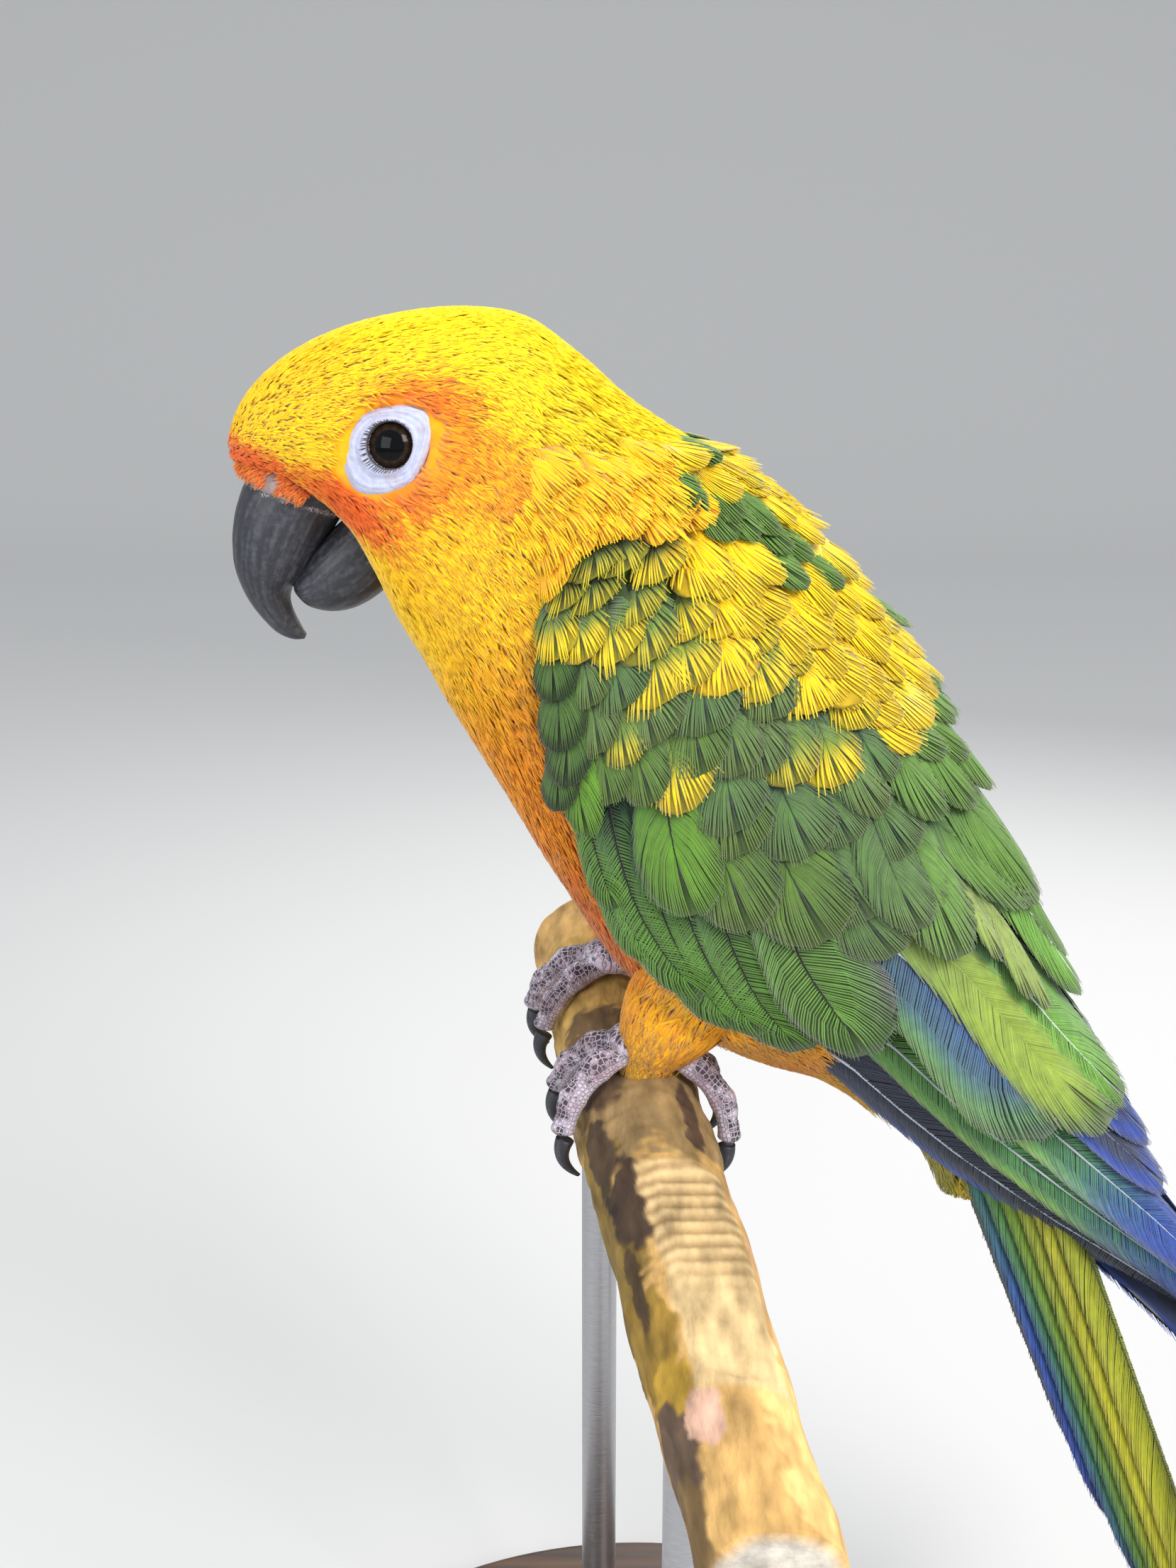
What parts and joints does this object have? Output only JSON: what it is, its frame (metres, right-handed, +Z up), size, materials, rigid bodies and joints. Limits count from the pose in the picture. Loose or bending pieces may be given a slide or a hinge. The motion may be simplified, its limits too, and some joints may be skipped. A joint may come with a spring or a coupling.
{
  "type": "sun conure on a perch",
  "caption": "Life-size still model of a sun conure parrot gripping a short cut branch, held by two short rods on a flat round display base.",
  "frame": {"origin": "centre of the underside of the stand's base", "axes": "+Z up, the bird faces -X, its left side faces -Y, the perch runs nearly along Y"},
  "size_m": [0.1569, 0.152, 0.2219],
  "materials": {
    "yellow_plumage": "soft feathers",
    "orange_plumage": "soft feathers",
    "wing_plumage": "smooth feathers",
    "tail_plumage": "smooth feathers",
    "foot_skin": "scaled skin",
    "horn": "dry dark horn",
    "bare_skin": "bare wrinkled skin",
    "eye": "wet gloss",
    "branch_wood": "worn natural branch with bark patches",
    "base_wood": "dark oiled wood",
    "rod_steel": "satin"
  },
  "bodies": {
    "root": {"head": "yellow_plumage", "neck": "yellow_plumage", "torso": "orange_plumage", "tail": "tail_plumage", "wing_left": "wing_plumage", "wing_right": "wing_plumage", "thigh_left": "yellow_plumage", "thigh_right": "yellow_plumage", "foot_left": "foot_skin", "foot_right": "foot_skin", "claw_left_front_outer": "horn", "claw_left_front_inner": "horn", "claw_left_back_outer": "horn", "claw_left_back_inner": "horn", "claw_right_front_outer": "horn", "claw_right_front_inner": "horn", "claw_right_back_outer": "horn", "claw_right_back_inner": "horn", "bill_upper": "horn", "bill_lower": "horn", "cere": "bare_skin", "eye_left": "eye", "eye_right": "eye", "eye_ring_left": "bare_skin", "eye_ring_right": "bare_skin", "perch": "branch_wood", "stand_base": "base_wood", "stand_rod_back": "rod_steel", "stand_rod_front": "rod_steel"}
  },
  "joints": []
}
